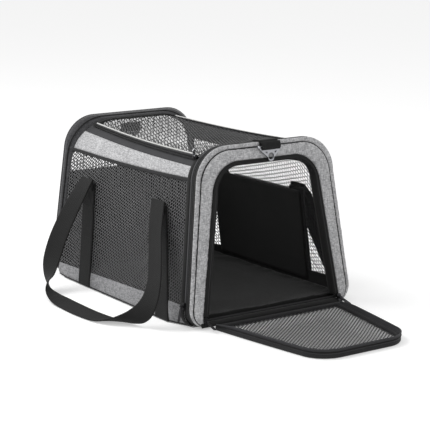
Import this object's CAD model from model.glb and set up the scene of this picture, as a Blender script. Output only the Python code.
"""Soft-sided pet carrier bag, standing open with its mesh door laid on the ground."""

import math
from contextlib import contextmanager

import bmesh
import bpy
import numpy as np
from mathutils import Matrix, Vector
from mathutils.bvhtree import BVHTree


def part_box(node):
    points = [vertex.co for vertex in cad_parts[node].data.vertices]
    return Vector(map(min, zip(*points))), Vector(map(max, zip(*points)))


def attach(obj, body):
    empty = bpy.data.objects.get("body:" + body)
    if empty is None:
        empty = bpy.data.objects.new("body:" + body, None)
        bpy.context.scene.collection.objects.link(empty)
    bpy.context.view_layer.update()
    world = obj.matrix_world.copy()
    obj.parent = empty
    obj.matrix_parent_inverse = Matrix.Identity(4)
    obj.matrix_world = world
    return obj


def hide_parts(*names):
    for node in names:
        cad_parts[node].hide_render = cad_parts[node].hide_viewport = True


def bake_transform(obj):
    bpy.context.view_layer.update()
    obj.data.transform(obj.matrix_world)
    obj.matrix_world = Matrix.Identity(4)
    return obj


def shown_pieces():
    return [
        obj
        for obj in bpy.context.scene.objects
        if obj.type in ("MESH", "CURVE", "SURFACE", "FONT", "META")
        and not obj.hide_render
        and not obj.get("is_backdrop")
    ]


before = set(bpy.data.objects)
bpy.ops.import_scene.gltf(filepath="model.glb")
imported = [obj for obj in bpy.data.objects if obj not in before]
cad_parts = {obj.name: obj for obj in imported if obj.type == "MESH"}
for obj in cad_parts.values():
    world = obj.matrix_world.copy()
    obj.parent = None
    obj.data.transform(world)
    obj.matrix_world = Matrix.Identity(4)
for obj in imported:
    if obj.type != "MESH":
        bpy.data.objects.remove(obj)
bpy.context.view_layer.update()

# ---- Camera and the photograph's image points ----
# The camera stands in front of the door end, to the near side, a little above the bag's middle.
# Each image point is where a feature of the bag shows in the photograph, in pixels of its frame.
PHOTO_W, PHOTO_H = 430, 430
LENS_MM, SENSOR_MM = 125.58, 36.0
CAMERA_AZIMUTH, CAMERA_ELEVATION = math.radians(55.63), math.radians(12.04)
CAMERA_DISTANCE = 2.5566
CAMERA_AIM = Vector((0.0213, 0.0251, 0.1275))
POINTS = {
    "left": (43, None),
    "right": (403, None),
    "top": (None, 104),
    "bottom": (None, 357),
    "front_ring": (267, 152),
    "top_pull": (193.7, 152.6),
    "gusset_pull": (180.2, 313.7),
    "door_near_slider": (209, 327),
    "door_far_slider": (339, 300),
    "face_groove": (200.6, 240),
    "foot_seam": (118, 302),
}
scene = bpy.context.scene


def put(name, data, place, back):
    """Puts a camera or lamp in its place, with its back turned to a direction."""
    thing = bpy.data.objects.new(name, data)
    thing.location = place
    thing.rotation_mode = "QUATERNION"
    thing.rotation_quaternion = back.to_track_quat("Z", "Y")
    scene.collection.objects.link(thing)
    return thing


camera_back = Vector((
    math.sin(CAMERA_AZIMUTH) * math.cos(CAMERA_ELEVATION),
    -math.cos(CAMERA_AZIMUTH) * math.cos(CAMERA_ELEVATION),
    math.sin(CAMERA_ELEVATION),
))
camera = put("camera", bpy.data.cameras.new("camera"), CAMERA_AIM + camera_back * CAMERA_DISTANCE,
             camera_back)
camera.data.lens = LENS_MM
camera.data.sensor_width = SENSOR_MM
camera.data.sensor_fit = "AUTO"
camera.data.clip_start = 0.1
camera.data.clip_end = 50
scene.camera = camera
scene.view_settings.view_transform = "Standard"
bpy.context.view_layer.update()


def finished(piece):
    """A piece's corners and faces as finished and placed."""
    shape = piece.evaluated_get(bpy.context.evaluated_depsgraph_get())
    mesh = shape.to_mesh()
    corners = [shape.matrix_world @ v.co for v in mesh.vertices]
    faces = [tuple(p.vertices) for p in mesh.polygons]
    shape.to_mesh_clear()
    return corners, faces


def seen_at(name, *carriers):
    """The place on the carriers that shows at a named image point, and the surface's normal there."""
    x, y = POINTS[name]
    longest = max(PHOTO_W, PHOTO_H)
    lens = camera.data
    ray = Vector((
        x - PHOTO_W / 2 + lens.shift_x * longest,
        PHOTO_H / 2 - y + lens.shift_y * longest,
        -longest * lens.lens / lens.sensor_width,
    ))
    ray = (camera.matrix_world.to_3x3() @ ray).normalized()
    start = camera.matrix_world.translation
    trees = [BVHTree.FromPolygons(*finished(piece)) for piece in carriers]
    hits = [hit for hit in (tree.ray_cast(start, ray) for tree in trees) if hit[0] is not None]
    if not hits:
        for step in np.linspace(CAMERA_DISTANCE - 0.6, CAMERA_DISTANCE + 0.6, 61):
            hits += [tree.find_nearest(start + ray * float(step)) for tree in trees]
    place, normal, _, _ = min(hits, key=lambda hit: hit[3])
    return place, normal


def shown_at(places):
    """Where places in metres show in the photograph's frame, as pixel x and y."""
    view = np.array(camera.matrix_world.inverted())
    local = np.asarray(places, float).reshape(-1, 3) @ view[:3, :3].T + view[:3, 3]
    scale = max(PHOTO_W, PHOTO_H) * camera.data.lens / camera.data.sensor_width
    return np.stack([
        PHOTO_W / 2 + scale * local[:, 0] / -local[:, 2],
        PHOTO_H / 2 - scale * local[:, 1] / -local[:, 2],
    ], 1)


# ---- Studio: pale floor, soft lamps and an even sky ----
# A matt white floor under a broad overhead softbox, with a weaker one beside the camera.
def linear(hex_colour):
    """An sRGB hex colour as linear red, green, blue and alpha."""
    parts = [int(hex_colour[i:i + 2], 16) / 255 for i in (1, 3, 5)]
    return [c / 12.92 if c <= 0.04045 else ((c + 0.055) / 1.055) ** 2.4 for c in parts] + [1.0]


def new_material(name):
    material = bpy.data.materials.new(name)
    material.use_nodes = True
    return material


def feed(owner, node, inputs):
    """Gives a node's inputs their values, or links them to a node's first output or to a socket."""
    for name, value in inputs.items():
        value = value.outputs[0] if isinstance(value, bpy.types.Node) else value
        if isinstance(value, bpy.types.NodeSocket):
            owner.node_tree.links.new(value, node.inputs[name])
        else:
            node.inputs[name].default_value = value


def add(owner, kind, inputs=None, **settings):
    """Adds one shader node to a material or world, with its settings and its inputs."""
    node = owner.node_tree.nodes.new("ShaderNode" + kind)
    for name, value in settings.items():
        setattr(node, name, value)
    feed(owner, node, inputs or {})
    return node


def maths(owner, operation, *values):
    return add(owner, "Math", dict(enumerate(values)), operation=operation)


def seen_directly(owner):
    """1 for rays from the camera, a mirror or glass, and 0 for the rays that light things."""
    path = add(owner, "LightPath").outputs
    mirrored = maths(owner, "MAXIMUM", path["Is Camera Ray"], path["Is Glossy Ray"])
    return maths(owner, "MAXIMUM", mirrored, path["Is Transmission Ray"])


SKY_LIGHT = 0.62
world = bpy.data.worlds.new("studio")
world.use_nodes = True
scene.world = world
world.node_tree.nodes.clear()
sky = add(world, "Background", {"Color": linear("#FFFFFF"), "Strength": SKY_LIGHT})
backdrop = add(world, "Background", {"Color": linear("#FFFFFF"), "Strength": 1.0})
lit = add(world, "MixShader", {0: seen_directly(world), 1: sky, 2: backdrop})
add(world, "OutputWorld", {"Surface": lit})

FLOOR_LIFT, FLOOR_REACH = 0.42, 20.0
floor_paint = new_material("matt_white_floor")
floor_paint.node_tree.nodes.clear()
floor_matt = add(floor_paint, "BsdfDiffuse", {"Color": linear("#E4E4E4")})
floor_glow = add(floor_paint, "Emission",
                 {"Strength": maths(floor_paint, "MULTIPLY", seen_directly(floor_paint), FLOOR_LIFT)})
add(floor_paint, "OutputMaterial", {"Surface": add(floor_paint, "AddShader", {0: floor_matt, 1: floor_glow})})

floor_mesh = bpy.data.meshes.new("floor")
corners = ((-1, -1), (1, -1), (1, 1), (-1, 1))
floor_mesh.from_pydata([(x * FLOOR_REACH, y * FLOOR_REACH, 0) for x, y in corners], [], [(0, 1, 2, 3)])
floor_mesh.materials.append(floor_paint)
floor = bpy.data.objects.new("floor", floor_mesh)
scene.collection.objects.link(floor)
floor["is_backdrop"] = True

for name, place, width, watts in (("overhead_softbox", (-0.9, -1.5, 2.3), 1.6, 40),
                                  ("front_softbox", (2.6, -1.0, 1.5), 1.6, 10)):
    lamp = bpy.data.lights.new(name, "AREA")
    lamp.shape = "SQUARE"
    lamp.size = width
    lamp.energy = watts
    put(name, lamp, place, Vector(place) - CAMERA_AIM)

# ---- Base: fabric underside, stiff board and floor mat ----
# The bottom is a melange polyester panel; a board lies on it under a padded black mat.
# This section holds the bag's own sizes and the surfaces that every sewn piece is cut from.
MM = 0.001
UP = np.array([0.0, 0.0, 1.0])
BAG_LENGTH, BAG_HEIGHT = 450.0, 280.0
HALF_BASE, HALF_TOP = 162.0, 127.5
FRONT_LEAN, BACK_LEAN = math.radians(5), math.radians(1.8)
FRONT_DEPTH, RIM_DEPTH = 20.0, 18.0
FOOT = 0.6
WALL_INSET = (6.0, 3.0)
WALL_CORNER = (85.0, 60.0)
SKIN_SAG, SKIN_BOW = 4.0, 2.0
SAG_FROM, SAG_OVER = 130, 120
TUCK_FRONT, TUCK_BACK = 27.0, 12.0
TUCK_AFTER, TUCK_BEFORE = 0.86, 0.08
SIDE_SLOPE = (HALF_BASE - HALF_TOP) / BAG_HEIGHT
SIDE_STRETCH = math.hypot(1, SIDE_SLOPE)
SIDE_TILT = math.atan(SIDE_SLOPE)


def mix(a, b, share):
    return a + (b - a) * share


def ease(t):
    t = np.clip(t, 0, 1)
    return t * t * (3 - 2 * t)


def unit(vectors):
    return vectors / np.maximum(np.linalg.norm(vectors, axis=-1, keepdims=True), 1e-9)


def round_angles(count):
    return np.linspace(0, 2 * math.pi, count, endpoint=False)


def both(u, v):
    """Two values or grids as arrays of one common shape."""
    return np.broadcast_arrays(np.asarray(u, float), np.asarray(v, float))


def front_x(z):
    """Where the side walls meet the front frame at height z."""
    return BAG_LENGTH / 2 - FRONT_DEPTH * math.cos(FRONT_LEAN) - (z - FOOT) * math.tan(FRONT_LEAN)


def back_x(z):
    return -BAG_LENGTH / 2 + RIM_DEPTH * math.cos(BACK_LEAN) + (z - FOOT) * math.tan(BACK_LEAN)


def share_at(x, z):
    """How far along the wall x lies at height z, from the back (0) to the front (1)."""
    return (x - back_x(z)) / (front_x(z) - back_x(z))


def wall_corner(u):
    """The centre and radius of the wall's upper corner at the share u."""
    inset, radius = mix(*WALL_INSET, u), mix(*WALL_CORNER, u)
    z = BAG_HEIGHT - inset - radius
    return HALF_BASE - SIDE_SLOPE * z - (inset + radius) * SIDE_STRETCH, z, radius


def tuck(u, z):
    """How far the foot of a wall is drawn in towards the rounded lower corners of the two end frames."""
    u, z = both(u, z)
    up_front, up_back = np.clip(TUCK_FRONT - z, 0, TUCK_FRONT), np.clip(TUCK_BACK - z, 0, TUCK_BACK)
    front_share = ease((u - TUCK_AFTER) / (1 - TUCK_AFTER))
    back_share = ease((TUCK_BEFORE - u) / TUCK_BEFORE)
    return (front_share * (TUCK_FRONT - np.sqrt(TUCK_FRONT ** 2 - up_front ** 2))
            + back_share * (TUCK_BACK - np.sqrt(TUCK_BACK ** 2 - up_back ** 2)))


def wall(u, z, depth=0.0):
    """Points of the far wall's outer face at shares u and heights z, sunk by depth, with its sag."""
    u, z = both(u, z)
    cy, cz, r = wall_corner(u)
    upper = z > cz + r * math.sin(SIDE_TILT)
    angle = np.arcsin(np.clip((z - cz) / r, -1, 1))
    straight = HALF_BASE - SIDE_SLOPE * z - mix(*WALL_INSET, u) * SIDE_STRETCH - depth * math.cos(SIDE_TILT)
    y = np.where(upper, cy + (r - depth) * np.cos(angle), straight)
    h = np.where(upper, cz + (r - depth) * np.sin(angle), z - depth * math.sin(SIDE_TILT))
    along = np.sin(np.pi * np.clip(u, 0, 1))
    y = y - SKIN_BOW * along * np.sin(np.pi * np.clip(h / BAG_HEIGHT, 0, 1)) - tuck(u, h)
    sag = SKIN_SAG * along * ease((h - SAG_FROM) / SAG_OVER)
    return np.stack([mix(back_x(h), front_x(h), u), y, h - sag], -1)


def over_top(u, y, depth=0.0, dip=0.0):
    """Points of the top's outer face at shares u and distances y from the middle."""
    u, y = both(u, y)
    cy, cz, r = wall_corner(u)
    angle = np.arccos(np.clip((np.abs(y) - cy) / r, 0, 1))
    round_y = np.sign(y) * (cy + (r - depth) * np.cos(angle))
    z = np.where(np.abs(y) > cy, cz + (r - depth) * np.sin(angle), cz + r - depth)
    sag = SKIN_SAG * np.sin(np.pi * np.clip(u, 0, 1))
    return np.stack([mix(back_x(z), front_x(z), u), np.where(np.abs(y) > cy, round_y, y), z - sag - dip], -1)


def near_side(points):
    """The same points on the near side."""
    return points * np.array([1.0, -1.0, 1.0])


def far_side(points):
    return points


def place_piece(mesh, finish, body, replaces=()):
    """Makes a smooth mesh a piece of the bag, which rides on a body and stands for CAD nodes."""
    mesh.polygons.foreach_set("use_smooth", [True] * len(mesh.polygons))
    mesh.materials.append(finish)
    piece = bpy.data.objects.new(mesh.name, mesh)
    scene.collection.objects.link(piece)
    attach(piece, body)
    if replaces:
        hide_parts(*replaces)
    return piece


def lattice(name, grid, finish, slot="black_fabric", body="bag", closed="", plan=None, thick=0.0,
            lining=None, replaces=()):
    """A quad mesh through a grid of points in mm, rows by columns, with its cloth laid out in metres.

    closed has u where each row closes on itself, and v where the last row joins the first. plan gives the
    layout where it isn't the grid's own, and thick makes a sheet of an open grid, whose inner side and
    edges can have a lining of another finish.
    """
    grid = np.asarray(grid)
    rows, cols = grid.shape[:2]
    up, along = rows - ("v" not in closed), cols - ("u" not in closed)
    steps = [np.linalg.norm(np.roll(grid, -1, axis) - grid, axis=2).mean(1 - axis) for axis in (0, 1)]
    at_v, at_u = (np.append(0, np.cumsum(step)) * MM for step in steps)
    j, i = np.divmod(np.arange(up * along)[:, None], along)
    j, i = j + [0, 0, 1, 1], i + [0, 1, 1, 0]
    faces = j % rows * cols + i % cols
    layout = np.stack([at_u[i], at_v[j]], -1) if plan is None else plan[j % rows, i % cols] * MM
    mesh = bpy.data.meshes.new(name)
    mesh.from_pydata((grid.reshape(-1, 3) * MM).tolist(), [], faces.tolist())
    mesh.uv_layers.new(name="cloth").data.foreach_set("uv", layout.ravel())
    piece = place_piece(mesh, finish, body, replaces)
    if thick:
        shell = piece.modifiers.new("thickness", "SOLIDIFY")
        shell.thickness = thick * MM
        shell.offset = -1
        if lining:
            mesh.materials.append(lining)
            shell.material_offset = shell.material_offset_rim = 1
    return piece


@contextmanager
def reshaped(piece):
    """Opens a piece's mesh for new faces, and then turns all its faces outwards."""
    shape = bmesh.new()
    shape.from_mesh(piece.data)
    shape.verts.ensure_lookup_table()
    yield shape
    bmesh.ops.recalc_face_normals(shape, faces=shape.faces)
    shape.to_mesh(piece.data)
    shape.free()


def capped(piece, sides):
    """A tube with its two ends closed, where sides is how many points go round it."""
    with reshaped(piece) as shape:
        count = len(shape.verts) // sides
        for column in (0, count - 1):
            shape.faces.new([shape.verts[j * count + column] for j in range(sides)])
    return piece


def border(rows, cols):
    """The vertices round the edge of a lattice."""
    return [i for i in range(rows * cols) if i // cols in (0, rows - 1) or i % cols in (0, cols - 1)]


def settle(piece, held, slack=0.0, pressure=0.0, gravity=1.0, limit=8.0, stiffness=15.0, frames=20):
    """Lets a piece settle as cloth held at some of its vertices, and keeps the result.

    slack is how much larger its cut is than its place, and limit the furthest that a point moves, in mm.
    """
    before = np.array([v.co for v in piece.data.vertices])
    shown = [(m, m.show_viewport) for m in piece.modifiers]
    for m, _ in shown:
        m.show_viewport = False
    pins = piece.vertex_groups.new(name="held")
    pins.add([int(i) for i in held], 1.0, "REPLACE")
    cloth = piece.modifiers.new("settle", "CLOTH")
    for name, value in {
            "quality": 6, "mass": 0.1, "tension_stiffness": stiffness, "compression_stiffness": stiffness,
            "shear_stiffness": stiffness / 3, "bending_stiffness": 0.4, "air_damping": 4,
            "vertex_group_mass": "held", "shrink_min": -slack, "use_pressure": pressure > 0,
            "uniform_pressure_force": pressure}.items():
        setattr(cloth.settings, name, value)
    cloth.settings.effector_weights.gravity = gravity
    cloth.collision_settings.use_collision = False
    cloth.point_cache.frame_start = 1
    cloth.point_cache.frame_end = frames
    for f in range(1, frames + 1):
        scene.frame_set(f)
    graph = bpy.context.evaluated_depsgraph_get()
    after = np.array([v.co for v in piece.evaluated_get(graph).data.vertices])
    piece.modifiers.remove(cloth)
    piece.vertex_groups.remove(pins)
    scene.frame_set(1)
    for m, was in shown:
        m.show_viewport = was
    move = after - before
    far = np.linalg.norm(move, axis=1, keepdims=True)
    move *= limit * MM * np.tanh(far / (limit * MM)) / np.maximum(far, 1e-9)
    piece.data.vertices.foreach_set("co", (before + move).ravel())
    piece.data.update()


WAVE_LENGTH = 0.314  # metres between the ridges of a wave texture of scale 1


def surface(material, **inputs):
    """Gives a material's own shader its inputs, named with _ for each space."""
    feed(material, material.node_tree.nodes["Principled BSDF"],
         {name.replace("_", " "): value for name, value in inputs.items()})


def cloth_surface(material, colour, height, strength, depth_mm, roughness, sheen, shine):
    """The surface of a fabric: its colour, its relief up to depth_mm deep, and how it takes the light."""
    relief = add(material, "Bump", {"Strength": strength, "Distance": depth_mm * MM, "Height": height})
    surface(material, Base_Color=colour, Normal=relief, Roughness=roughness, Sheen_Weight=sheen,
            Specular_IOR_Level=shine)
    return material


def place_of(material):
    return add(material, "TexCoord").outputs["Object"]


def noise(material, place, scale, detail=3.0, **more):
    settings = {"Vector": place, "Scale": scale, "Detail": detail, **more}
    return add(material, "TexNoise", settings).outputs["Fac"]


def ribs(material, place, spacing_mm, direction, **more):
    """Soft ridges across one direction, spacing_mm apart."""
    return add(material, "TexWave", {"Vector": place, "Scale": WAVE_LENGTH / (spacing_mm * MM), **more},
               bands_direction=direction).outputs["Fac"]


def remap(material, value, start, end, low=0.0, high=1.0):
    """A value between start and end, moved to lie between low and high."""
    return add(material, "MapRange", {"Value": value, "From Min": start, "From Max": end, "To Min": low,
                                      "To Max": high})


def tinted(material, colour, value, dark, light, start=0.0, end=1.0):
    """A colour from dark to light times its own brightness, as a value goes from start to end."""
    shade = remap(material, value, start, end, dark, light)
    return add(material, "VectorMath", {0: linear(colour)[:3], "Scale": shade}, operation="SCALE")


def melange(name, light, dark, sheen=0.25):
    """Melange polyester: light and dark fibres spun into one yarn and woven plain, so the eye sees flecks.

    The yarns are 0.5 mm apart; the flecks are drawn 1.4 mm wide, three times that, so that they show.
    """
    cloth = new_material(name)
    place = place_of(cloth)
    flecks = []
    for scale in ((700, 700, 160), (170, 170, 700)):
        run = add(cloth, "VectorMath", {0: place, 1: scale}, operation="MULTIPLY")
        flecks.append(noise(cloth, run, 1.0, 2.0, Roughness=0.6))
    yarn = maths(cloth, "ADD", *flecks)
    mixed = maths(cloth, "MULTIPLY_ADD", noise(cloth, place, 60.0), 0.25, yarn)
    share = remap(cloth, mixed, 0.92, 1.34)
    tone = add(cloth, "Mix", {"Factor": share, "A": linear(dark), "B": linear(light)},
               data_type="RGBA").outputs["Result"]
    return cloth_surface(cloth, tone, yarn, 0.35, 0.4, 0.85, sheen, 0.25)


def oxford(name, colour, thread_mm=1.6, bump=0.5):
    """Oxford cloth: nylon yarns woven two over one, which gives black fabric its small square grain.

    The yarns are 0.6 mm apart and are drawn at thread_mm, so that the grain shows.
    """
    cloth = new_material(name)
    place = place_of(cloth)
    woven = maths(cloth, "MULTIPLY", *[ribs(cloth, place, thread_mm, axis, Distortion=0.6, Detail=1.0)
                                       for axis in ("DIAGONAL", "Z")])
    tone = tinted(cloth, colour, noise(cloth, place, 35.0, 4.0), 0.75, 1.3)
    return cloth_surface(cloth, tone, woven, bump, 0.4, 0.75, 0.05, 0.2)


def plush(name, colour):
    """Short-pile fleece: the standing fibres catch light at their tips and go dark between them."""
    cloth = new_material(name)
    place = place_of(cloth)
    pile = noise(cloth, place, 620.0)
    brushed = maths(cloth, "MULTIPLY_ADD", noise(cloth, place, 28.0), 0.6, pile)
    tone = tinted(cloth, colour, brushed, 0.55, 1.7, 0.5, 1.1)
    return cloth_surface(cloth, tone, pile, 0.7, 1.0, 0.95, 0.12, 0.15)


grey_melange = melange("grey_melange_polyester", "#D2D2D3", "#949496")
black_oxford = oxford("black_oxford_nylon", "#1A1A1A")

BOARD_GAP, BOARD_T, FABRIC_T = 4.0, 3.0, 2.0
BOARD_TOP = FABRIC_T + BOARD_T


def base_grid(gap, z, rows=30, cols=40):
    """A grid over the base inside the walls, set in by gap, at the height z."""
    x0, x1 = back_x(FABRIC_T) + gap, front_x(FABRIC_T) - gap
    half0, half1 = (HALF_BASE - inset * SIDE_STRETCH - gap for inset in WALL_INSET)
    u, v = np.linspace(0, 1, cols), np.linspace(-1, 1, rows)
    x = np.broadcast_to(mix(x0, x1, u), (rows, cols))
    half = mix(half0, half1, u) - tuck(share_at(x[0], z), z)
    return np.stack([x, v[:, None] * half, np.full((rows, cols), float(z))], -1)


lattice("base_cloth", base_grid(0, FABRIC_T), grey_melange, "base_fabric", thick=FABRIC_T,
        replaces=["base_panel"])
millboard = oxford("grey_millboard", "#4A4743", thread_mm=6.0, bump=0.15)
lattice("stiff_board", base_grid(BOARD_GAP, BOARD_TOP), millboard, "board", thick=BOARD_T,
        replaces=["base_board"])

# The mat's rounded edge from its underside to its top, as inset and height, closed by two flat grids
MAT_EDGE = ((3.0, 0.3), (1.0, 1.2), (0.3, 3.5), (0.3, 6.5), (1.0, 8.6), (3.0, 9.6), (7.0, 9.8))
MAT_HELD_TO = 4.0
black_plush = plush("black_short_pile_fleece", "#141414")
mat_levels = [base_grid(BOARD_GAP + inset, BOARD_TOP + lift, 52, 68) for inset, lift in MAT_EDGE]
mat_skin = [np.concatenate([g[0, :-1], g[:-1, -1], g[-1, :0:-1], g[:0:-1, 0]]) for g in mat_levels]
floor_mat = lattice("floor_mat", mat_skin, black_plush, "pad", closed="u", replaces=["floor_pad"])
with reshaped(floor_mat) as shape:
    for grid in (mat_levels[-1], mat_levels[0][:, ::-1]):
        corners = [[shape.verts.new(p * MM) for p in row] for row in grid]
        for low, high in zip(corners[:-1], corners[1:]):
            for i in range(len(low) - 1):
                shape.faces.new((low[i], low[i + 1], high[i + 1], high[i])).smooth = True
    bmesh.ops.remove_doubles(shape, verts=shape.verts, dist=0.05 * MM)
held = [v.index for v in floor_mat.data.vertices if v.co.z < (BOARD_TOP + MAT_HELD_TO) * MM]
settle(floor_mat, held, slack=0.012, pressure=0.6, gravity=0.3, limit=5.0, frames=16)

# ---- Front frame ----
# A padded frame in the same melange cloth round the doorway: a rolled outer lobe and a wider face,
# with a sewn groove between them, on a black gusset that holds a zip and a sprung wire hoop.
# An outline is its half widths at the foot and at its top, its lowest and highest z and two radii.
FRAME = (HALF_BASE, HALF_TOP, 0.0, BAG_HEIGHT, 58.0, 30.0)
DOORWAY = (136.0, 97.0, 6.0, 253.0, 50.0, 9.0)
LOW_ARC, TOP_ARC, SIDE_STEPS, OVER_STEPS, UNDER_STEPS = 9, 15, 46, 34, 46
HOOP_POINTS = 2 * (LOW_ARC + SIDE_STEPS + TOP_ARC) + OVER_STEPS + UNDER_STEPS
OVER_THE_DOOR = slice(LOW_ARC - 1, HOOP_POINTS - UNDER_STEPS - LOW_ARC + 1)


def hoop(outline, inset=0.0):
    """A rounded trapezoid set in by inset, as y and z, from the far bottom corner over the top."""
    base, top, low, high, top_r, low_r = outline
    slope = (base - top) / high
    stretch, tilt = math.hypot(1, slope), math.degrees(math.atan(slope))
    low_r = max(low_r, inset + 0.5)

    def arc(z, r, start, end, count):
        centre = np.array([base - slope * z - r * stretch, z])
        angle = np.radians(np.linspace(start, end, count))
        return centre + (r - inset) * np.stack([np.cos(angle), np.sin(angle)], 1)

    def between(a, b, count):
        return a + (b - a) * np.linspace(0, 1, count + 2)[1:-1, None]

    low_arc = arc(low + low_r, low_r, -90, tilt, LOW_ARC)
    top_arc = arc(high - top_r, top_r, tilt, 90, TOP_ARC)
    far = np.concatenate([low_arc, between(low_arc[-1], top_arc[0], SIDE_STEPS), top_arc])
    near = far[::-1] * [-1, 1]
    return np.concatenate([far, between(far[-1], near[0], OVER_STEPS),
                           near, between(near[-1], far[0], UNDER_STEPS)])


def lean(loop, depth, angle, place):
    """A y, z loop at a depth in an end frame's own axes, turned to the frame's lean and put in place."""
    depth = np.broadcast_to(depth, loop.shape[:-1])
    c, s = math.cos(angle), math.sin(angle)
    return np.stack([depth * c - loop[..., 1] * s + place[0], loop[..., 0],
                     depth * s + loop[..., 1] * c + place[1]], -1)


def in_front(loop, depth):
    return lean(loop, depth, FRONT_LEAN, (BAG_LENGTH / 2, FOOT + FRONT_DEPTH * math.sin(FRONT_LEAN)))


def in_back(loop, depth):
    return lean(loop, depth, -BACK_LEAN, (-BAG_LENGTH / 2, FOOT + RIM_DEPTH * math.sin(BACK_LEAN)))


def round_frame(place, inset, depth):
    """A line round an end frame, and the frame's outward direction at each of its points."""
    line = place(hoop(FRAME, inset), depth)
    return line, unit(line - place(hoop(FRAME, inset + 1), depth))


# Each point of the face's section: its share of the way in from the frame's edge, and its depth in mm.
# The rows from BLACK_TO up to BLACK_FROM are melange cloth, and the others black.
FACE_SECTION = [(1, -8), (1, -5), (1, -3), (0.99, -1.7), (0.94, -0.9), (0.86, -0.4), (0.74, 0), (0.6, 0),
                (0.46, -0.3), (0.35, -0.9), (0.295, -1.9), (0.27, -3.4), (0.245, -2.1), (0.2, -1.2),
                (0.14, -0.9), (0.07, -1.2), (0.02, -2.1), (0, -3.2), (0, -5), (0, -8), (0.25, -8),
                (0.5, -8), (0.75, -8)]
BLACK_FROM, BLACK_TO = 17, 2
GROOVE_BOTTOM, FACE_SEAM = -3.3, (0.93, -0.75)


def on_face(share, depth):
    """A line round the face, at a share of the way in from the frame's edge and a depth."""
    return in_front(mix(hoop(FRAME), hoop(DOORWAY), share), depth)


front_face = lattice("front_face", [on_face(*at) for at in FACE_SECTION], grey_melange, "grey_fabric",
                     closed="uv", replaces=["front_frame"])
sewn_rows = [j for j, (share, depth) in enumerate(FACE_SECTION) if share in (0, 1) or depth < GROOVE_BOTTOM]
settle(front_face, [j * HOOP_POINTS + i for j in sewn_rows for i in range(HOOP_POINTS)],
       slack=0.012, pressure=0.8, gravity=0.0, limit=1.6, frames=14)
front_face.data.materials.append(black_oxford)
for face in front_face.data.polygons:
    face.material_index = int(not BLACK_TO <= face.index // HOOP_POINTS < BLACK_FROM)


def bead(name, centre, out, radius, finish, slot="black_fabric", replaces=(), sides=10):
    """A round cord along a closed line, out being the line's outward direction."""
    along = unit(np.roll(centre, -1, 0) - np.roll(centre, 1, 0))
    across = np.cross(along, out)
    rows = [centre + radius * (math.cos(a) * out + math.sin(a) * across) for a in round_angles(sides)]
    return lattice(name, rows, finish, slot, closed="uv", replaces=replaces)


PIPING_R, PIPING_INSET, FRONT_PIPING_DEPTH, BACK_PIPING_DEPTH = 2.5, 1.9, -10.5, 2.5
WIRE_R, FRONT_WIRE = 2.5, (8.7, -10.7)
black_grosgrain = oxford("black_grosgrain_binding", "#262627", thread_mm=2.0, bump=0.7)
bead("front_edge_roll", *round_frame(in_front, PIPING_INSET, FRONT_PIPING_DEPTH), PIPING_R, black_grosgrain,
     replaces=["front_piping"])
bead("front_hoop_sleeve", *round_frame(in_front, *FRONT_WIRE), WIRE_R, black_grosgrain, "spring_steel",
     ["front_hoop"])

# The gusset's zip and its section, as inset from the frame's edge and depth
GUSSET_ZIP = (0.9, -17.0)
GUSSET_SECTION = [(4.6, -8.4), (4.6, -13.2), (1.3, -13.5), (1.0, -14.5), (0.8, -17), (1.0, -19.3), (1.8, -20),
                  (4.5, -20), (6, -19.2), (6, -14), (6, -8.2)]
gusset_grid = [in_front(hoop(FRAME, inset), depth) for inset, depth in GUSSET_SECTION]
lattice("gusset_cloth", gusset_grid, black_oxford, closed="uv", replaces=["front_gusset"])


def nylon(name, colour, roughness=0.45):
    """Moulded or coiled nylon: smooth and a little waxy, with a soft highlight."""
    plastic = new_material(name)
    smear = noise(plastic, place_of(plastic), 180.0)
    surface(plastic, Base_Color=tinted(plastic, colour, smear, 0.85, 1.2), IOR=1.53, Specular_IOR_Level=0.15,
            Roughness=remap(plastic, smear, 0, 1, roughness - 0.1, roughness + 0.15))
    return plastic


black_nylon_coil = nylon("black_nylon_zip_coil", "#131313", 0.6)
grey_nylon_coil = nylon("grey_nylon_zip_coil", "#4A4A4C", 0.6)
TOOTH, TOOTH_DIP, COIL_SIDES = 2.4, 0.92, 8


def evenly(line, step, *others):
    """A polyline and what goes with its points, spaced evenly at about step mm."""
    far = np.concatenate([[0], np.cumsum(np.linalg.norm(np.diff(line, axis=0), axis=1))])
    at = np.linspace(0, far[-1], max(2, int(round(far[-1] / step)) + 1))
    return [np.stack([np.interp(at, far, values[:, k]) for k in range(3)], 1)
            for values in (line, *[np.broadcast_to(other, line.shape) for other in others])]


def coil(name, line, out, body="bag", width=3.4, height=1.3, slot="zip", finish=black_nylon_coil,
         replaces=()):
    """A zip's nylon coil along a line, a ridge for each tooth, its teeth drawn at twice their size."""
    line, out = evenly(line, TOOTH / 2, out)
    out = unit(out)
    across = unit(np.cross(np.gradient(line, axis=0), out))
    ridge = np.where(np.arange(len(line)) % 2, TOOTH_DIP, 1.0)[:, None]
    rows = [line + across * (math.cos(a) * width / 2) * (0.75 + 0.25 * ridge)
            + out * (math.sin(a) * height / 2) * ridge for a in round_angles(COIL_SIDES)]
    return capped(lattice(name, rows[::-1], finish, slot, body, "v", replaces=replaces), COIL_SIDES)


thread_finish = {"grey": nylon("grey_polyester_thread", "#8C8C8E", 0.6),
                 "black": nylon("black_polyester_thread", "#3C3C3E", 0.6)}
STITCH_PITCH, STITCH_LENGTH, THREAD_R = 4.0, 2.9, 0.38


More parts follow.
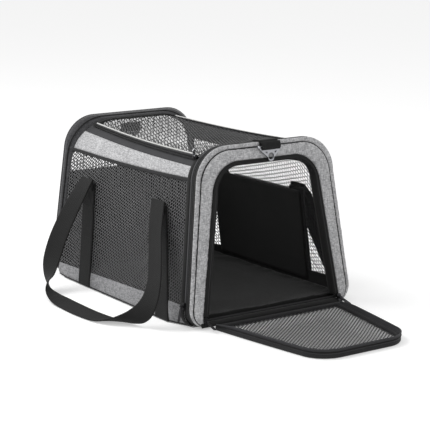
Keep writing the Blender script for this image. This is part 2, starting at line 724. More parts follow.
def stitches(name, lines, out, colour, body="bag"):
    """Rows of lockstitch: a short thread along the seam at each pitch, standing a little off the cloth."""
    points, faces = [], []
    for line in lines:
        line, outs = evenly(line, STITCH_PITCH, out)
        outs, along = unit(outs), unit(np.gradient(line, axis=0))
        for p, n, t, s in zip(line[:-1] + (line[1:] - line[:-1]) / 2, outs, along, np.cross(along, outs)):
            first = len(points)
            points += [p - t * STITCH_LENGTH / 2, p + n * THREAD_R * 1.3, p + s * THREAD_R, p - n * THREAD_R,
                       p - s * THREAD_R, p + t * STITCH_LENGTH / 2]
            for i in range(4):
                a, b = first + 1 + i, first + 1 + (i + 1) % 4
                faces += [(first, a, b), (first + 5, b, a)]
    mesh = bpy.data.meshes.new(name)
    mesh.from_pydata((np.array(points) * MM).tolist(), [], faces)
    return place_piece(mesh, thread_finish[colour], body)


front_out = in_front(np.zeros((1, 2)), 1.0)[0] - in_front(np.zeros((1, 2)), 0.0)[0]
gusset_line, gusset_out = round_frame(in_front, *GUSSET_ZIP)
coil("gusset_zip_coil", gusset_line[OVER_THE_DOOR], gusset_out[OVER_THE_DOOR], finish=grey_nylon_coil,
     replaces=["gusset_zip"])

# The doorway's zip tape, as inset from its edge, depth, and how much deeper it turns in. It narrows
# over the doorway's top, and doesn't turn in on the near post, whose inner side the photograph hides.
TAPE_NARROWING, NARROW_FROM, NARROW_OVER, TAPE_COIL = 0.3, 190, 50, (4.8, -0.3)
TURNED_FROM, TURNED_OVER = -95, 60
TAPE_SECTION = ((-0.6, -1.8, 0), (0.4, -0.5, 0), (1.8, 0.1, 0), (3.6, 0.0, 0), (4.4, -0.6, 0), (5.2, -0.6, 0),
                (6.0, 0.0, 0), (7.4, -0.4, 0), (7.9, -1.6, 0), (8.0, -2.4, 3.6), (8.0, -2.6, 8),
                (7.8, -2.8, 12))
black_tape = oxford("black_woven_zip_tape", "#181818", thread_mm=1.8, bump=0.6)
doorway = hoop(DOORWAY)
narrowing = TAPE_NARROWING * ease((doorway[:, 1:] - NARROW_FROM) / NARROW_OVER)
inwards = (hoop(DOORWAY, 1) - doorway) * (1 - narrowing)
turned_in = ease((doorway[:, 0] - TURNED_FROM) / TURNED_OVER)
tape_grid = [in_front(doorway + inwards * inset, depth - deep * turned_in)[OVER_THE_DOOR]
             for inset, depth, deep in TAPE_SECTION]
lattice("doorway_zip_tape", tape_grid[::-1], black_tape, "zip", thick=0.9, replaces=["door_zip_tape"])
coil("doorway_zip_coil", in_front(doorway + inwards * TAPE_COIL[0], TAPE_COIL[1])[OVER_THE_DOOR], front_out,
     width=2.0, height=1.4, finish=grey_nylon_coil)
stitches("front_face_stitches", [on_face(*FACE_SEAM)[OVER_THE_DOOR]], front_out, "grey")

# The groove between the two lobes is closed by a thin dark cord, run round at the share where it is seen
GROOVE_SHARES, GROOVE_DEPTH, GROOVE_CORD_R = (0.262, 0.278), -2.2, 1.1
seen, _ = seen_at("face_groove", front_face)
lines = np.array([on_face(share, GROOVE_DEPTH) for share in np.linspace(*GROOVE_SHARES, 5)])
gaps = np.linalg.norm(lines - np.array(seen) / MM, axis=2)
front_seam_cord = bead("front_seam_cord", lines[gaps.min(1).argmin()], front_out, GROOVE_CORD_R,
                       black_grosgrain, sides=6)

# ---- Back frame ----
# The same wire hoop at the back, in a dark rim that tapers in to the smaller walls. Its panel is
# opaque cloth below and mesh above.
EDGE_BASE, EDGE_HIGH = HALF_BASE - 6 * SIDE_STRETCH, BAG_HEIGHT - 6
BACK_EDGE = (EDGE_BASE, EDGE_BASE - SIDE_SLOPE * EDGE_HIGH, 0.0, EDGE_HIGH, 85.0, 15.0)
RIM_X, RIM_OUTSIDE, RIM_INSIDE, RIM_COIL = 5.0, (0.2, -0.2), (5.8, 2.8), (-0.3, -0.7)
WIRE_X, WIRE_INSET, WIRE_SHARE = RIM_X + 2.7, (8.9, 8.7), 0.3
charcoal_melange = melange("charcoal_melange_polyester", "#4F4F51", "#323234")


def on_rim(out_inset, in_inset, share):
    """A line round the rim, at a share of the way from its outer edge to the walls."""
    return mix(in_back(hoop(FRAME, out_inset), RIM_X), in_back(hoop(BACK_EDGE, in_inset), RIM_DEPTH), share)


rim_grid = ([on_rim(*RIM_OUTSIDE, share) for share in (0.0, 0.25, 0.5, 0.75, 1.0)]
            + [on_rim(*RIM_INSIDE, share) for share in (1.0, 0.5, 0.0)])
lattice("back_rim_cloth", rim_grid[::-1], charcoal_melange, closed="uv", replaces=["back_rim"])
bead("back_edge_roll", *round_frame(in_back, PIPING_INSET, BACK_PIPING_DEPTH), PIPING_R, charcoal_melange,
     "grey_fabric", ["back_piping"])
coil("back_rim_zip_coil", on_rim(*RIM_COIL, 0.5)[OVER_THE_DOOR],
     round_frame(in_back, 0, RIM_DEPTH)[1][OVER_THE_DOOR], slot="black_fabric")
wire_line = mix(in_back(hoop(FRAME, WIRE_INSET[0]), WIRE_X), in_back(hoop(BACK_EDGE, WIRE_INSET[1]), WIRE_X),
                WIRE_SHARE)
bead("back_hoop_sleeve", wire_line, round_frame(in_back, WIRE_INSET[0], WIRE_X)[1], WIRE_R, black_grosgrain,
     "spring_steel", ["back_hoop"])

# The spacing of a net's rows of openings in mm, across and along, and how much longer than wide each is
NET_ROW, WALL_ROW, NET_STRETCH = (6.4, 8.2), (8.0, 10.2), 1.6
YARN_EDGE, YARN_MIDDLE = 0.12, 2.3


def net(name, colour, hole_mm, turn, row_mm=NET_ROW):
    """Warp-knitted polyester mesh: black yarns round staggered rows of long small openings, seen through.

    The openings are cut from the cloth's own layout, their rows turned by turn degrees. They are drawn
    6.4 mm apart, or 8 mm on the far and back walls, about two or three times the real mesh.
    """
    cloth = new_material(name)
    place = add(cloth, "VectorRotate", {"Vector": add(cloth, "UVMap", uv_map="cloth"),
                                        "Angle": math.radians(turn)}, rotation_type="Z_AXIS")
    row = (row_mm[0] * MM, row_mm[1] * MM, 1.0)
    nearest = []
    for start in ((0, 0, 0), (row[0] / 2, row[1] / 2, 0)):
        moved = add(cloth, "VectorMath", {0: place, 1: start}, operation="ADD")
        cell = add(cloth, "VectorMath", {0: moved, 1: [v / 2 for v in row], 2: [-v / 2 for v in row]},
                   operation="WRAP")
        flat = add(cloth, "VectorMath", {0: cell, 1: (1 / NET_STRETCH, 1, 0)}, operation="MULTIPLY")
        nearest.append(add(cloth, "VectorMath", {0: flat}, operation="LENGTH").outputs["Value"])
    reach = maths(cloth, "MINIMUM", *nearest)
    surface(cloth, Alpha=remap(cloth, reach, (hole_mm - YARN_EDGE) * MM, (hole_mm + YARN_EDGE) * MM))
    roundness = remap(cloth, reach, hole_mm * MM, YARN_MIDDLE * MM)
    tone = tinted(cloth, colour, noise(cloth, place, 24.0, 4.0), 0.8, 1.25)
    return cloth_surface(cloth, tone, roundness, 0.8, 0.6, 0.55, 0.08, 0.3)


black_net = net("black_knitted_mesh", "#2E2E2F", 2.28, -40, WALL_ROW)


def end_panel(edge, low, high, rows, cols):
    """A grid across an end frame between two heights, out to the outline's two sides."""
    far = edge[:HOOP_POINTS // 2]
    far = far[(far[:, 0] > 0) & (np.maximum.accumulate(far[:, 1]) <= far[:, 1])]
    z = mix(low, high, (1 - np.cos(np.linspace(0, np.pi, rows))) / 2)
    y = np.interp(z, far[:, 1], far[:, 0])[:, None] * np.linspace(-1, 1, cols)
    return np.stack([y, np.broadcast_to(z[:, None], y.shape)], -1)


PANEL_SPLIT, PANEL_LAP, PANEL_INSET, LOWER_X, NET_X = 178.0, 4.0, 4.8, 3.4, 4.2
panel_edge = hoop(FRAME, PANEL_INSET)
lower = end_panel(panel_edge, panel_edge[0, 1] + 0.05, PANEL_SPLIT, 34, 48)
upper = end_panel(panel_edge, PANEL_SPLIT - PANEL_LAP, BAG_HEIGHT - PANEL_INSET - 0.1, 26, 48)
back_lower = lattice("back_lower_cloth", in_back(lower, LOWER_X)[:, ::-1], black_oxford, plan=lower,
                     thick=1.2, replaces=["back_lower_panel"])
back_net = lattice("back_net", in_back(upper, NET_X)[:, ::-1], black_net, "black_mesh", plan=upper,
                   thick=0.6, replaces=["back_mesh"])
settle(back_net, border(*upper.shape[:2]), slack=0.01, limit=3.0, frames=14)
split_half = np.interp(PANEL_SPLIT, panel_edge[:60, 1], panel_edge[:60, 0])
split_line = in_back(np.stack([np.linspace(-1, 1, 40) * split_half, np.full(40, PANEL_SPLIT)], 1), 2.6)
binding_rows = np.array([split_line + np.array([dx, 0, dz]) for dx, dz in
                         ((0.6, -4.5), (-0.5, -4), (-0.9, 0), (-0.5, 4), (0.6, 4.5))])
lattice("back_panel_binding", binding_rows[:, ::-1], black_grosgrain, thick=0.8)

# ---- Side walls ----
# Each wall is sewn from a melange foot band, a mesh panel, a dark binding, a melange shoulder band and
# a wide dark zip tape. It is held taut between the two hoops, and its upper seams sag a little.
# Each seam has its height at the back and at the front.
WALL_LOW, LOW_BAND, MESH_TOP = (2.2, 2.2), (24.0, 36.0), (222.0, 227.0)
BAND_FOOT, SHOULDER = (227.0, 232.0), (255.0, 249.0)
HANDLE_X, STRAP_REACH, STRAP_TOP = -12.0, 115.0, 180.0
STRAP_SKEW = {"near_back": 15.0, "near_front": 38.0, "far_back": 28.0, "far_front": 2.0}
WEBBING_W, WEBBING_T = 38.0, 2.2
POCKET_BACK, POCKET_FRONT, POCKET_TOP = -142.0, 115.0, 174.0
FLAP_HALF = (85.5, 113.2)


def seam_height(u, y):
    cy, cz, r = wall_corner(u)
    return cz + math.sqrt(r * r - (y - cy) ** 2)


SEAM = (seam_height(0, FLAP_HALF[0]), seam_height(1, FLAP_HALF[1]))


def wall_grid(low, high, depth=0.0, rows=8, cols=100, puff=0.0):
    """A grid on the far wall between two seams, each with its height at the back and at the front."""
    u = np.linspace(0, 1, cols)[None]
    z = mix(mix(*low, u), mix(*high, u), np.linspace(0, 1, rows)[:, None])
    swell = puff * np.sin(np.pi * np.linspace(0, 1, rows))[:, None]
    return wall(u, z, depth - swell)


def both_walls(name, grid, finish, slot, node, **settings):
    """The same cut on the near and the far wall, its face outwards."""
    near = lattice("near_" + name, near_side(grid), finish, slot, replaces=["near_" + node], **settings)
    far = lattice("far_" + name, grid[:, ::-1], finish, slot, replaces=["far_" + node], **settings)
    return near, far


foot_melange = melange("grey_melange_polyester_of_the_foot", "#A6A6A8", "#727274")
near_foot, _ = both_walls("foot_cloth", wall_grid(WALL_LOW, LOW_BAND, -0.3, 16, puff=0.6), foot_melange,
                          "grey_fabric", "bottom_band", thick=1.6, lining=black_oxford)
both_walls("shoulder_cloth", wall_grid(BAND_FOOT, SHOULDER, -0.3, puff=0.7), grey_melange, "grey_fabric",
           "shoulder_band", thick=1.6, lining=black_oxford)
both_walls("net_binding", wall_grid(MESH_TOP, BAND_FOOT, -1.1, 5, puff=0.5), black_grosgrain, "black_fabric",
           "binding", thick=1.4)
worn_tape = oxford("charcoal_woven_zip_tape", "#3A3A3C", thread_mm=1.8, bump=0.6)
both_walls("top_tape", wall_grid(SHOULDER, SEAM), worn_tape, "zip", "top_zip_tape", thick=1.0)

# Each wall's front end is covered by the other half of the gusset zip's tape
WING_U, WING_BULGE = (0.970, 0.999), 2.0
wing_z, wing_u = np.meshgrid(np.linspace(3.0, SEAM[1] - 1.0, 90), np.linspace(*WING_U, 5), indexing="ij")
wing = wall(wing_u, wing_z, -WING_BULGE * np.sin(np.pi * np.linspace(0.15, 0.85, 5))[None])
for hand, grid in (("near", near_side(wing)), ("far", wing[:, ::-1])):
    lattice(hand + "_gusset_tape", grid, black_oxford, thick=1.2)

NET_ROWS, NET_COLS, NET_LAP = 50, 104, (2, 1)
net_grid = wall_grid([z - NET_LAP[0] for z in LOW_BAND], [z + NET_LAP[1] for z in MESH_TOP], 0.4, NET_ROWS,
                     NET_COLS)
near_net, far_net = both_walls("side_net", net_grid, black_net, "black_mesh", "mesh", thick=0.6)
near_net.data.materials[0] = net("black_knitted_mesh_in_the_light", "#5C5C5D", 1.62, -40)


def under_strap(p, margin=5.0):
    """Whether a wall point in mm lies under a sewn strap."""
    hand = "near" if p[1] < 0 else "far"
    return p[2] < STRAP_TOP + margin and any(
        abs(p[0] - HANDLE_X - side * STRAP_REACH - STRAP_SKEW[f"{hand}_{end}"] * (1 - p[2] / STRAP_TOP))
        < WEBBING_W / 2 + margin for side, end in ((-1, "back"), (1, "front")))


def behind_pocket(p):
    return POCKET_BACK - 8 < p[0] < POCKET_FRONT + 8 and p[2] < POCKET_TOP + 6


for piece, lined in ((near_net, False), (far_net, True)):
    sewn = set(border(NET_ROWS, NET_COLS))
    places = [np.array(v.co) / MM for v in piece.data.vertices]
    held = [i for i, p in enumerate(places) if i in sewn or under_strap(p) or (lined and behind_pocket(p))]
    settle(piece, held, slack=0.015, limit=5.0, frames=18)


def wall_patch(x0, x1, z0, z1, depth, rows, cols, skew=0.0):
    """A grid on the far wall between two x, leaning forward by skew at its foot."""
    z = np.linspace(z0, z1, rows)[:, None]
    x = np.linspace(x0, x1, cols)[None] + skew * (z1 - z) / (z1 - z0)
    return wall(share_at(x, z), np.broadcast_to(z, x.shape), depth)


# A dark cord closes the seam between each foot band and the base, at the height where it is seen
SEAM_LOW, SEAM_HIGH = 3, 7
seen, _ = seen_at("foot_seam", near_foot)
foot_line = wall(np.linspace(0.0, 0.99, 90), float(np.clip(seen.z / MM, SEAM_LOW, SEAM_HIGH)), -1.0)
foot_cords = {hand: coil(hand + "_foot_cord", line, UP, width=2.0, height=2.0, slot="black_fabric")
              for hand, line in (("near", near_side(foot_line)), ("far", foot_line[::-1]))}

# The far wall is lined with opaque cloth, and carries a flat pocket outside between its straps
POCKET_SWELL, POCKET_ROWS, POCKET_COLS = 2.0, 26, 44
lining = wall_patch(POCKET_BACK, POCKET_FRONT, LOW_BAND[0] - 6, POCKET_TOP, 2.2, 30, 56)
far_lining = lattice("far_lining", lining[:, ::-1], black_oxford, thick=1.0, replaces=["far_lining_panel"])
pocket_x = (HANDLE_X - STRAP_REACH + WEBBING_W / 2 + STRAP_SKEW["far_back"] + 2,
            HANDLE_X + STRAP_REACH - WEBBING_W / 2 - 2)
pocket = wall_patch(*pocket_x, LOW_BAND[1] + 1, POCKET_TOP, -1.0, POCKET_ROWS, POCKET_COLS)
across, up = np.linspace(0, 1, POCKET_COLS)[None], np.linspace(0, 1, POCKET_ROWS)[:, None]
pocket[..., 1] += POCKET_SWELL * np.sin(np.pi * across) ** 0.6 * (0.35 + 0.65 * up)
far_pocket = lattice("far_pocket_cloth", pocket[:, ::-1], grey_melange, "grey_fabric", thick=1.4,
                     replaces=["far_pocket"])
pocket_hem = np.array([pocket[-1] + np.array([0, dy, dz]) for dy, dz in
                       ((0.4, -7), (0.9, -6.5), (1.0, -2), (0.6, 0.6), (-0.6, 0.9))])
lattice("far_pocket_hem", pocket_hem[:, ::-1], black_grosgrain, thick=0.8)

# ---- Top ----
# A mesh flap hinges at the front strip: it hangs in a frame of zip tape with a pale cord sewn along
# its two long seams, and sags under its own weight.
TOP_LENGTH = front_x(BAG_HEIGHT) - back_x(BAG_HEIGHT)
STRIP_SHARE = (10.0 / TOP_LENGTH, 1 - 8.0 / TOP_LENGTH)
FLAP_GAP, FLAP_EDGE, FLAP_SAG = 0.6, 6.5, 6.5
GAP_SHARE, EDGE_SHARE = FLAP_GAP / TOP_LENGTH, FLAP_EDGE / TOP_LENGTH
FLAP_U = (STRIP_SHARE[0] + GAP_SHARE, STRIP_SHARE[1] - GAP_SHARE)
FLAP_ROWS, FLAP_COLS, EDGE_LAP = 64, 90, 0.8


def flap_half(u):
    """Half of the flap's width at the share u, out to its zip."""
    cy, cz, r = wall_corner(u)
    return cy + np.sqrt(r * r - (mix(*SEAM, u) - cz) ** 2)


def top_grid(u0, u1, gap, depth, sag, rows=60, cols=6):
    u = np.linspace(u0, u1, cols)
    side = np.sin(np.pi / 2 * np.linspace(-1, 1, rows))[:, None]
    dip = sag * np.sin(np.pi * np.linspace(0, 1, cols))[None] ** 0.7 * (1 - side ** 4)
    return over_top(u[None], side * (flap_half(u) - gap)[None], depth, dip)


for name, u0, u1 in (("top_front_strip", STRIP_SHARE[1], 1), ("top_back_strip", 0, STRIP_SHARE[0])):
    lattice(name + "_cloth", top_grid(u0, u1, 0, -0.2, 0), black_oxford, thick=1.6, replaces=[name])

flap_net = net("black_knitted_flap_mesh", "#484849", 1.8, -26)
flap_grid = top_grid(FLAP_U[0] + EDGE_SHARE * EDGE_LAP, FLAP_U[1], FLAP_GAP + FLAP_EDGE * EDGE_LAP, 0.3,
                     FLAP_SAG, FLAP_ROWS, FLAP_COLS)
top_net = lattice("top_net", flap_grid, flap_net, "black_mesh", "top_flap", thick=0.6, replaces=["top_mesh"])
settle(top_net, border(FLAP_ROWS, FLAP_COLS), slack=0.008, limit=3.0, frames=18)


def flap_line(side, inset, depth, cols=90):
    """A line along one long edge of the flap, set in from its zip."""
    u = np.linspace(*FLAP_U, cols)
    return over_top(u, side * (flap_half(u) - inset), depth)


# The flap's tape from under the bag's own tape to the net, as inset and depth
FLAP_TAPE = ((-1.8, 1.5), (0.2, 1.2), (0.6, 0.0), (2.0, -0.4), (4.4, -0.4), (7.2, -0.1))
CORD_R, CORD_INSET, CORD_DEPTH = 1.35, 5.0, -1.8
FLAP_COIL_INSET, BAG_COIL_INSET, TOP_COIL_DEPTH = 1.0, -2.2, -2.0
pale_cord = nylon("pale_reflective_piping", "#D2D2D0", 0.5)
for side, hand in ((-1, "near"), (1, "far")):
    stands = side < 0
    edge = [flap_line(side, *at) for at in FLAP_TAPE]
    lattice(f"{hand}_flap_zip_tape", edge[::side], worn_tape, "zip", "top_flap", thick=1.2,
            replaces=["top_flap_zip"] * stands)
    cord = flap_line(side, CORD_INSET, CORD_DEPTH)
    across = unit(np.cross(np.gradient(cord, axis=0), UP))
    rows = [cord + CORD_R * (math.cos(a) * across + math.sin(a) * UP) for a in round_angles(8)]
    lattice(f"{hand}_flap_piping", rows[::-1], pale_cord, "pale_piping", "top_flap", "v",
            replaces=["top_flap_piping"] * stands)
    for name, body, inset in ((f"{hand}_flap_coil", "top_flap", FLAP_COIL_INSET),
                              (f"{hand}_top_tape_coil", "bag", BAG_COIL_INSET)):
        line = flap_line(side, inset, TOP_COIL_DEPTH)
        coil(name, line, line - flap_line(side, inset, 10), body, width=2.6)
back_edge = top_grid(FLAP_U[0], FLAP_U[0] + EDGE_SHARE, FLAP_GAP, -0.3, 0)
lattice("back_flap_zip_tape", back_edge, black_tape, "zip", "top_flap", thick=1.2)
coil("back_flap_coil", back_edge[:, 1] + 0.6 * UP, UP, "top_flap")

# ---- Webbing: sewn straps and carrying handles ----
# 38 mm polypropylene webbing. Four straps are sewn up the walls and fold over at their tops into the
# two handles, which hang down the sides and lie on the ground.


def webbing(name, colour):
    """Polypropylene webbing: thick warp ribs run along it, and the weft crosses them in a herringbone.

    The ribs are 2.4 mm apart, as on the real webbing.
    """
    strap = new_material(name)
    place = add(strap, "UVMap", uv_map="cloth").outputs[0]
    weft = ribs(strap, place, 1.8, "DIAGONAL", Distortion=1.5)
    woven = maths(strap, "MULTIPLY_ADD", weft, 0.45, ribs(strap, place, 2.4, "Y"))
    lift = maths(strap, "MULTIPLY_ADD", woven, 0.35, noise(strap, place, 30.0, 4.0))
    tone = tinted(strap, colour, lift, 0.7, 1.35, 0.3, 1.1)
    return cloth_surface(strap, tone, woven, 0.6, 0.6, 0.7, 0.05, 0.18)


black_webbing = webbing("black_polypropylene_webbing", "#141414")
# Webbing's section, its two edges a little thicker, as shares of its width and thickness
WEBBING_TOP = [(-0.5, 0.35), (-0.46, 0.5), (-0.4, 0.42), (0.0, 0.4), (0.4, 0.42), (0.46, 0.5), (0.5, 0.35)]
WEBBING_SECTION = WEBBING_TOP + [(s, -t) for s, t in WEBBING_TOP[::-1]]


def ribbon(name, line, across, width=WEBBING_W, replaces=()):
    """Webbing along a line: across is its width's direction."""
    across = unit(across)
    up = unit(np.cross(np.gradient(line, axis=0), across))
    rows = [line + across * s * width + up * t * WEBBING_T for s, t in WEBBING_SECTION]
    return capped(lattice(name, rows, black_webbing, "webbing", closed="v", replaces=replaces), len(rows))


def smooth_line(stations, steps=8):
    """A curve through stations of any size (Catmull-Rom)."""
    s = np.concatenate([[2 * stations[0] - stations[1]], stations, [2 * stations[-1] - stations[-2]]])
    out = []
    for a, b, c, d in zip(s[:-3], s[1:-2], s[2:-1], s[3:]):
        for t in np.arange(steps) / steps:
            out.append(0.5 * (2 * b + (c - a) * t + (2 * a - 5 * b + 4 * c - d) * t ** 2
                              + (3 * b - a - 3 * c + d) * t ** 3))
    return np.array(out + [stations[-1]])


# Each strap has a seam along both edges, and at its top a sewn box with a cross between rows 33 and 41
STRAP_ROWS, STRAP_SEAM, SEAM_ROWS, BOX = 44, 0.43, (20, 33, 41), (33, 41)
HANDS = (("near", near_side), ("far", far_side))
for hand, sides in HANDS:
    facing = unit(sides(np.array([0.0, 1.0, 0.12])))
    for end, direction in (("back", -1), ("front", 1)):
        x = HANDLE_X + direction * STRAP_REACH
        name = f"{hand}_{end}_strap"
        line = sides(wall_patch(x, x + 0.1, FABRIC_T, STRAP_TOP, -WEBBING_T / 2, STRAP_ROWS, 2,
                                STRAP_SKEW[f"{hand}_{end}"])[:, 0])
        across = np.array([1.0, 0.0, 0.0])
        ribbon(name + "_webbing", line, across, replaces=[name])
        left, right = (line + across * s * WEBBING_W + facing * (WEBBING_T / 2 + 0.1)
                       for s in (-STRAP_SEAM, STRAP_SEAM))
        rows = [left, right] + [np.linspace(left[z], right[z], 12) for z in SEAM_ROWS]
        rows += [np.linspace(a[BOX[0]], b[BOX[1]], 14) for a, b in ((left, right), (right, left))]
        stitches(name + "_stitches", rows, facing, "black")

# Each handle's stations from back to front: x, how far out from its seam, z; and its width's direction
HANDLE_Y = 140.361
NEAR_HANDLE = [
    ((-127, 0, 180), (1, 0, 0)), ((-127, 26, 145), (0.96, -0.25, 0)), ((-126, 54, 98), (0.93, -0.35, 0)),
    ((-123, 72, 58), (0.95, -0.3, 0)), ((-117, 82, 32), (1, 0, 0.1)), ((-103, 91, 16), (0.75, 0.5, 0.45)),
    ((-78, 97, 8), (0.4, 0.85, 0.3)), ((-40, 101, 3.4), (0.1, 1, 0.06)), ((0, 102, 2), (0, 1, 0)),
    ((50, 102, 2), (0, 1, 0)), ((95, 97, 2.6), (-0.05, 1, 0.04)), ((132, 86, 7.5), (-0.35, 0.85, 0.25)),
    ((157, 74, 19), (-0.8, 0.5, 0.3)), ((170, 62, 40), (-0.97, 0.15, 0.1)), ((170, 51, 70), (-1, 0, 0)),
    ((153, 38, 103), (-1, 0, 0)), ((127, 21, 142), (-1, 0, 0)), ((103, 0, 180), (-1, 0, 0))]
FAR_HANDLE = [
    ((-127, 0, 180), (1, 0, 0)), ((-131, 14, 140), (1, 0, 0)), ((-137, 29, 95), (1, 0, 0)),
    ((-142, 42, 55), (1, 0.05, 0)), ((-142, 51, 31), (0.95, 0.2, 0.25)), ((-129, 58, 16), (0.75, 0.5, 0.45)),
    ((-98, 62, 8), (0.4, 0.85, 0.3)), ((-45, 63, 3.4), (0.1, 1, 0.06)), ((5, 62, 2), (0, 1, 0)),
    ((50, 62, 2), (0, 1, 0)), ((84, 61, 3), (-0.05, 1, 0.04)), ((112, 59, 11), (-0.5, 0.8, 0.26)),
    ((124, 54, 29), (-0.95, 0.1, 0.1)), ((122, 46, 58), (-0.97, -0.1, 0)), ((114, 37, 90), (-0.96, -0.22, 0)),
    ((107, 27, 122), (-0.95, -0.28, 0)), ((103, 15, 155), (-0.96, -0.25, 0)), ((103, 0, 180), (-1, 0, 0))]
FOLD = np.array([[0, -1.2, -14.0], [0, -1.2, 0.5], [0, 0.4, 2.2]])
for (hand, sides), stations in zip(HANDS, (NEAR_HANDLE, FAR_HANDLE)):
    spots, widths = np.array(stations, float).swapaxes(0, 1)
    spots = spots + np.array([0, HANDLE_Y, 0])
    spots = np.concatenate([spots[:1] + FOLD, spots[1:-1], (spots[-1:] + FOLD)[::-1]])
    widths = np.concatenate([np.repeat(widths[:1], 3, 0), widths[1:-1], np.repeat(widths[-1:], 3, 0)])
    line, across = smooth_line(spots), smooth_line(unit(widths))
    line[:, 2] = np.maximum(line[:, 2], WEBBING_T / 2 + 0.4)
    handle = ribbon(f"{hand}_handle_webbing", sides(line), sides(across), replaces=[f"{hand}_handle"])
    handle.parent = None
    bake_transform(handle)

# ---- Rings and their webbing loops ----
# A cast zinc ring with a nickel finish hangs in a folded webbing loop at each end, for a shoulder strap.


def cast_metal(name, colour, roughness, grain=300.0):
    """Plated casting: a bright skin over a faintly uneven surface, so its highlights wander a little."""
    metal = new_material(name)
    uneven = noise(metal, place_of(metal), grain)
    relief = add(metal, "Bump", {"Strength": 0.08, "Distance": 0.5 * MM, "Height": uneven})
    surface(metal, Base_Color=linear(colour), Metallic=1.0, Normal=relief,
            Roughness=remap(metal, uneven, 0, 1, roughness * 0.7, roughness * 1.5))
    return metal


def dress_node(name, finish, edge_mm=0.3):
    """Gives a CAD node its finish and softens its cast edges."""
    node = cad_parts[name]
    node.data.materials.clear()
    node.data.materials.append(finish)
    edge = node.modifiers.new("cast_edges", "BEVEL")
    edge.width = edge_mm * MM
    edge.segments = 2
    edge.limit_method = "ANGLE"
    edge.harden_normals = True


nickel = cast_metal("nickel_plated_zinc", "#A6A7AB", 0.16)
for name in ("front_ring", "back_ring"):
    dress_node(name, nickel, 0.35)

RING_Y, LOOP_W, BAR_D, RUN = 4.0, 36.0, 4.0, 0.4
TURN_R = BAR_D / 2 + RUN + WEBBING_T / 2
BAR_OUT = WEBBING_T + BAR_D / 2 + RUN + 0.2


def ring_loop(name, place, mirror, bar_z, rise, over):
    """A loop folded round the ring's bar: up its front, over, and down behind it."""
    half = WEBBING_T / 2
    turn = [(BAR_OUT + TURN_R * math.cos(a), TURN_R * math.sin(a)) for a in np.linspace(0, -math.pi, 13)]
    path = [(BAR_OUT + TURN_R - 2.2, rise - 1.0), (BAR_OUT + TURN_R - 0.4, rise * 0.55), *turn,
            (0.2 + half, rise * 0.5), (0.2 + half, rise - 2.5), (-0.8, rise + half - 0.3)]
    if over > 0:
        path += [(-4.0, rise + half), (-over * 0.6, rise + half), (-over, rise + half)]
    path = smooth_line(np.array(path, float), 3)
    line = place(np.stack([np.full(len(path), RING_Y), bar_z + path[:, 1]], 1), mirror * path[:, 0])
    ribbon(name + "_webbing", line, np.array([0.0, mirror, 0.0]), LOOP_W, [name])


ring_loop("front_ring_loop", in_front, 1, BAG_HEIGHT - 8.5, 8.5 + 0.8, FRONT_DEPTH - 2)
ring_loop("back_ring_loop", lambda loop, depth: in_back(loop, depth + RIM_X - 1.2), -1, BAG_HEIGHT - 34,
          12.0, 0)

# ---- Door ----
# The mesh door lies open on the ground, face down: a padded black binding round a mesh panel, with
# its half of the zip along the edge, on a strip of cloth sewn to the frame's sill.
DOOR_INSET = 7.0
DOOR_TOP, DOOR_FOOT, NET_INSET = DOORWAY[3] - DOOR_INSET, 7.0, 10.0
DOOR_SLOPE = (DOORWAY[0] - DOORWAY[1]) / DOORWAY[3]
LEAF_BASE = DOORWAY[0] - DOOR_INSET * math.hypot(1, DOOR_SLOPE)
LEAF = (LEAF_BASE, LEAF_BASE - DOOR_SLOPE * DOOR_TOP, DOOR_FOOT, DOOR_TOP, 50.0, 9.0)
HINGE_LEVEL = (4.0 - FOOT - FRONT_DEPTH * math.sin(FRONT_LEAN)) / math.cos(FRONT_LEAN)
LEAF_X = BAG_LENGTH / 2 + 0.6 - HINGE_LEVEL
LEAF_SHORTER, LEAF_WIDER, LEAF_ASKEW = 0.032, 0.012, 6.0


def laid(inset, z):
    """The door's outline set in by inset, laid on the ground at the height z, a little slack and askew."""
    loop = hoop(LEAF, inset)
    out = loop[:, 1] / DOOR_TOP
    wide = loop[:, 0] * (1 + LEAF_WIDER * np.sin(np.pi * out)) - LEAF_ASKEW * out * ease(loop[:, 0] / 90)
    return np.stack([LEAF_X + loop[:, 1] * (1 - LEAF_SHORTER * out), wide, np.broadcast_to(z, out.shape)], 1)


# The binding's seam, the coil, and the binding's section and the zip tape's, as inset from the leaf's
# edge and height, where the tape's and the coil's heights are above TAPE_FOOT
RIM_SEAM, TAPE_FOOT, LEAF_COIL = (8.0, 7.9), 5.0, (3.9, 5.0)
RIM_SECTION = [(4.2, 2.0), (3.9, 4.4), (4.6, 6.9), (6.2, 8.5), (7.6, 8.2), (8.0, 7.7), (8.5, 8.2), (10, 8.4),
               (11.2, 6.8), (11.6, 4.4), (11, 2.0), (9.6, 0.8), (7.6, 0.6), (5.4, 0.8)]
LEAF_TAPE = ((5.6, 0), (4.7, 2.5), (4.2, 5.5), (4.3, 8.3), (3.2, 9.0), (3.3, 10.4), (4.6, 10.9), (5.6, 9.9))
door_rim = lattice("door_bound_edge", [laid(*at) for at in RIM_SECTION], black_grosgrain, body="door",
                   closed="uv", replaces=["door_rim"])
stitches("door_rim_stitches", [laid(*RIM_SEAM)], UP, "black", "door")

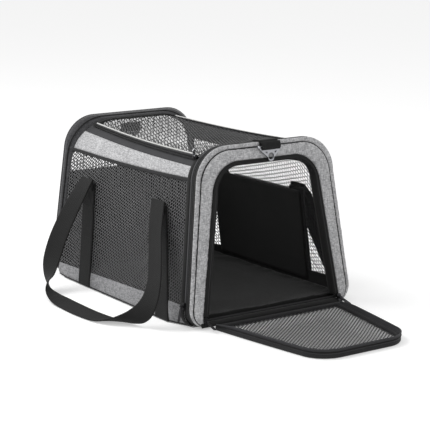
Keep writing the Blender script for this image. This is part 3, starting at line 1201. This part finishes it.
# The door's net is rings of the outline drawn in to its middle, which sinks from the binding to the ground
RINGS = np.concatenate([np.linspace(1, 0.14, 34), [0.05]])
NET_LOW, NET_RISE = 0.9, 2.4
door_edge = laid(NET_INSET, 0)
door_mid = np.array([(door_edge[:, 0].min() + door_edge[:, 0].max()) / 2, 0, 0])
door_rings = np.array([door_mid + (door_edge - door_mid) * t for t in RINGS])
door_rings[..., 2] = (NET_LOW + NET_RISE * ease((RINGS - 0.55) / 0.45))[:, None]
fine_net = net("black_knitted_door_mesh", "#303031", 1.5, 0)
door_net = lattice("door_net", door_rings[::-1], fine_net, "black_mesh", "door", "u",
                   door_rings[::-1, :, :2], thick=0.5, replaces=["door_mesh"])
with reshaped(door_net) as shape:
    middle = shape.faces.new([shape.verts[i] for i in range(HOOP_POINTS)])
    for corner in middle.loops:
        corner[shape.loops.layers.uv["cloth"]].uv = corner.vert.co.xy

# The leaf's zip tape stands up round it, higher at its free end
stand = 0.5 + 0.5 * ease(hoop(LEAF)[:, 1] / 70)


def standing(inset, height):
    return laid(inset, TAPE_FOOT + height * stand)[OVER_THE_DOOR]


lattice("door_zip_tape_leaf", [standing(*at) for at in LEAF_TAPE[::-1]], worn_tape, "zip", "door", thick=1.0)
coil("door_zip_coil", standing(*LEAF_COIL), (laid(0, 0) - laid(1, 0))[OVER_THE_DOOR], "door", width=2.2,
     replaces=["door_zip"])

# A binding covers the sill under the doorway, and the hinge is a strip of cloth from it to the leaf
SILL_SECTION = ((5.6, -10.5), (7.0, -9.0), (7.4, -5.0), (7.2, -1.5), (6.0, 0.7), (3.5, 1.3), (1.0, 1.0))
HINGE_HALF = HALF_BASE - 50
sill_y = np.linspace(-1, 1, 60) * (HALF_BASE - 22)
sill = [in_front(np.stack([sill_y, np.full(60, z)], 1), depth) for z, depth in SILL_SECTION]
lattice("sill_binding", sill, black_oxford, thick=0.8)
hinge_x = np.linspace(BAG_LENGTH / 2 - 2, LEAF_X + LEAF[2] + 6, 14)
hinge_y = np.linspace(-HINGE_HALF, HINGE_HALF, 60)
hinge_z = 4.6 + 0.4 * np.sin(np.linspace(0, np.pi, 14))
hinge_plan = np.meshgrid(hinge_x, hinge_y)
hinge_grid = np.stack([*hinge_plan, np.broadcast_to(hinge_z, hinge_plan[0].shape)], -1)
door_hinge = lattice("door_hinge_cloth", hinge_grid, black_oxford, thick=1.0, replaces=["door_hinge"])
door_hinge.parent = None
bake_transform(door_hinge)

# ---- Zip sliders and pulls ----
# Four cast sliders on three zips, black enamelled, with stamped pulls; the top zip's is bright steel.
black_enamel = cast_metal("black_enamelled_zinc", "#3A3A3C", 0.35)
for name in ("door_near_slider", "door_near_pull", "door_far_slider", "door_far_pull", "gusset_slider",
             "gusset_pull", "top_slider"):
    dress_node(name, black_enamel)
dress_node("top_pull", cast_metal("bright_stamped_steel", "#D8D9DB", 0.25))

# ---- What is written down: image points and size ----
# How far each image point is from where its feature shows, and the box of the CAD and visual models.
outline_px = shown_at(np.concatenate([finished(piece)[0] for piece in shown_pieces()]))
for name in ("front_ring", "top_pull", "gusset_pull", "door_near_slider", "door_far_slider"):
    low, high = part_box(name)
for name, seam in (("face_groove", front_seam_cord), ("foot_seam", foot_cords["near"])):
    along = shown_at([seam.matrix_world @ v.co for v in seam.data.vertices])
    tuple(along[np.hypot(*(along - np.array(POINTS[name])).T).argmin()])
